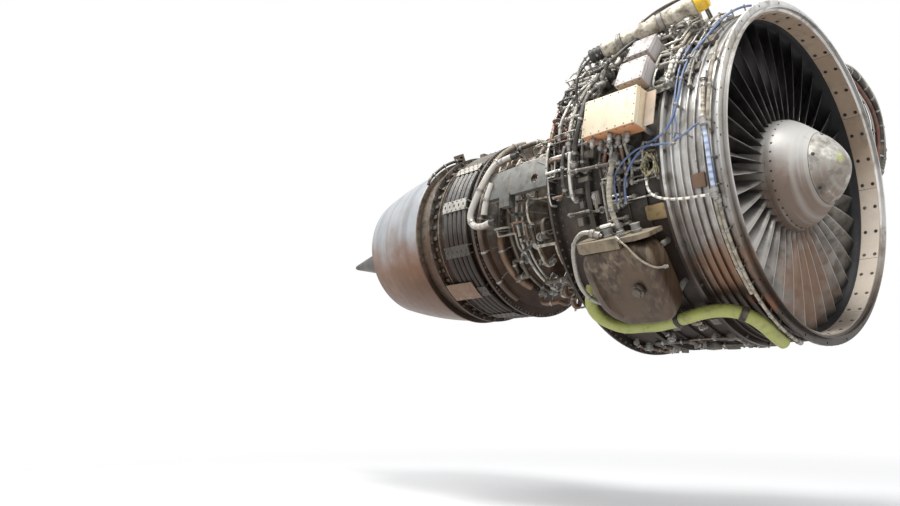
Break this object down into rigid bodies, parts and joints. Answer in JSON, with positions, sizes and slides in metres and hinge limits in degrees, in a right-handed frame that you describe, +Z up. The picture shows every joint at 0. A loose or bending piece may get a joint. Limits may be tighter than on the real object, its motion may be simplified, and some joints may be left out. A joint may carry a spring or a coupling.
{
  "type": "jet engine",
  "caption": "Two-spool bypass jet engine without nacelle: ribbed fan case, wide fan and spinner, side accessories, bare core, turbine with air tubes, exhaust nozzle and plug.",
  "frame": {"origin": "centre of the fan case front flange face, on the shaft axis", "axes": "+X forward out of the inlet along the shaft, +Z up, -Y the side with the oil tank and the control box"},
  "size_m": [4.021, 2.0499, 1.6781],
  "materials": {
    "bare_alloy": "satin, stained",
    "dark_paint": "matt, grimy",
    "tan_panel": "matt",
    "dark_liner": "matt",
    "blade_metal": "satin",
    "spinner_paint": "satin",
    "spinner_cap": "satin, scuffed",
    "steel": "satin",
    "bolt_steel": "satin",
    "hot_alloy": "heat-stained",
    "nozzle_alloy": "satin",
    "plug_alloy": "heat-stained",
    "cast_grey": "cast",
    "unit_grey": "satin",
    "tank_metal": "stained",
    "cream_paint": "satin",
    "exciter_paint": "satin",
    "beige_wrap": "matt",
    "yellow_plastic": "satin",
    "green_hose": "satin",
    "pipe_metal": "satin",
    "white_plastic": "satin"
  },
  "bodies": {
    "casing": {"fan_case": "bare_alloy", "inlet_liner_panels": "tan_panel", "panel_bolts": "bolt_steel", "fan_shroud_ring": "dark_liner", "outer_duct_case": "dark_paint", "outlet_guide_vanes": "bare_alloy", "booster_case": "bare_alloy", "booster_vanes": "steel", "fan_frame": "dark_paint", "flange_bolts": "bolt_steel", "hpc_case": "steel", "hpc_vanes": "steel", "vsv_actuators": "unit_grey", "combustion_case": "hot_alloy", "combustor_liner": "hot_alloy", "fuel_nozzles": "steel", "fuel_manifold": "pipe_metal", "hpt_nozzle_ring": "hot_alloy", "hpt_case": "hot_alloy", "lpt_case": "hot_alloy", "lpt_vanes": "hot_alloy", "lpt_cooling_tubes": "hot_alloy", "turbine_rear_frame": "hot_alloy", "exhaust_nozzle": "nozzle_alloy", "exhaust_plug": "plug_alloy", "bearing_outer_rings": "steel", "transfer_gearbox": "cast_grey", "accessory_gearbox": "cast_grey", "starter": "unit_grey", "generator": "unit_grey", "fuel_control": "unit_grey", "hydraulic_pump": "unit_grey", "oil_tank": "tank_metal", "control_box": "cream_paint", "ignition_boxes": "exciter_paint", "top_duct": "beige_wrap", "duct_cap": "yellow_plastic", "lower_hose": "green_hose", "side_bracket": "dark_paint", "case_pipes": "pipe_metal", "side_pipes": "pipe_metal", "core_pipes": "beige_wrap"},
    "low_spool": {"spinner_front": "spinner_cap", "spinner_rear": "spinner_paint", "fan_disk": "steel", "fan_blades": "blade_metal", "fan_platforms": "steel", "booster_rotor": "steel", "lp_shaft": "steel", "lpt_rotor": "hot_alloy"},
    "high_spool": {"hpc_rotor": "steel", "core_shaft": "steel", "hpt_rotor": "hot_alloy"},
    "radial_drive": {"radial_drive_shaft": "steel"},
    "side_drive": {"horizontal_drive_shaft": "steel"},
    "vane_ring_front": {"vsv_ring_front": "steel"},
    "vane_ring_rear": {"vsv_ring_rear": "steel"},
    "vane_rod": {"vsv_rods": "steel"},
    "tank_lid": {"tank_cap": "white_plastic"},
    "fuel_lever": {"power_lever": "pipe_metal"}
  },
  "joints": [
    {"name": "low_spool_spin", "type": "hinge", "parent": "casing", "child": "low_spool", "pos_m": [-0.185, 0, 0], "axis": [1, 0, 0], "continuous": true},
    {"name": "high_spool_spin", "type": "hinge", "parent": "casing", "child": "high_spool", "pos_m": [-1.1, 0, 0], "axis": [1, 0, 0], "continuous": true},
    {"name": "radial_drive_spin", "type": "hinge", "parent": "casing", "child": "radial_drive", "pos_m": [-0.85, 0, 0], "axis": [0, 0.9848, -0.1736], "continuous": true},
    {"name": "side_drive_spin", "type": "hinge", "parent": "casing", "child": "side_drive", "pos_m": [-0.64, 0.86663, -0.15281], "axis": [1, 0, 0], "continuous": true},
    {"name": "vane_rod_slide", "type": "slide", "parent": "casing", "child": "vane_rod", "axis": [0, -0.2588, -0.9659], "range_m": [0, 0.02]},
    {"name": "vane_ring_front_turn", "type": "hinge", "parent": "casing", "child": "vane_ring_front", "pos_m": [-1.04, 0, 0], "axis": [1, 0, 0], "range_deg": [0, 3.58]},
    {"name": "vane_ring_rear_turn", "type": "hinge", "parent": "casing", "child": "vane_ring_rear", "pos_m": [-1.13, 0, 0], "axis": [1, 0, 0], "range_deg": [0, 3.58]},
    {"name": "tank_cap_hinge", "type": "hinge", "parent": "casing", "child": "tank_lid", "pos_m": [-0.588, -0.87295, -0.30061], "axis": [0, -0.9272, -0.3746], "range_deg": [0, 100]},
    {"name": "power_lever_turn", "type": "hinge", "parent": "casing", "child": "fuel_lever", "pos_m": [-0.638, 0.98334, 0.1382], "axis": [0, 0.9903, 0.1392], "range_deg": [-35, 75]}
  ],
  "couplings": [
    {"joint": "radial_drive_spin", "follows": "high_spool_spin", "ratio": -1.875},
    {"joint": "side_drive_spin", "follows": "high_spool_spin", "ratio": 1.875},
    {"joint": "vane_ring_front_turn", "follows": "vane_rod_slide", "rad_per_m": 3.125},
    {"joint": "vane_ring_rear_turn", "follows": "vane_rod_slide", "rad_per_m": 3.125}
  ]
}
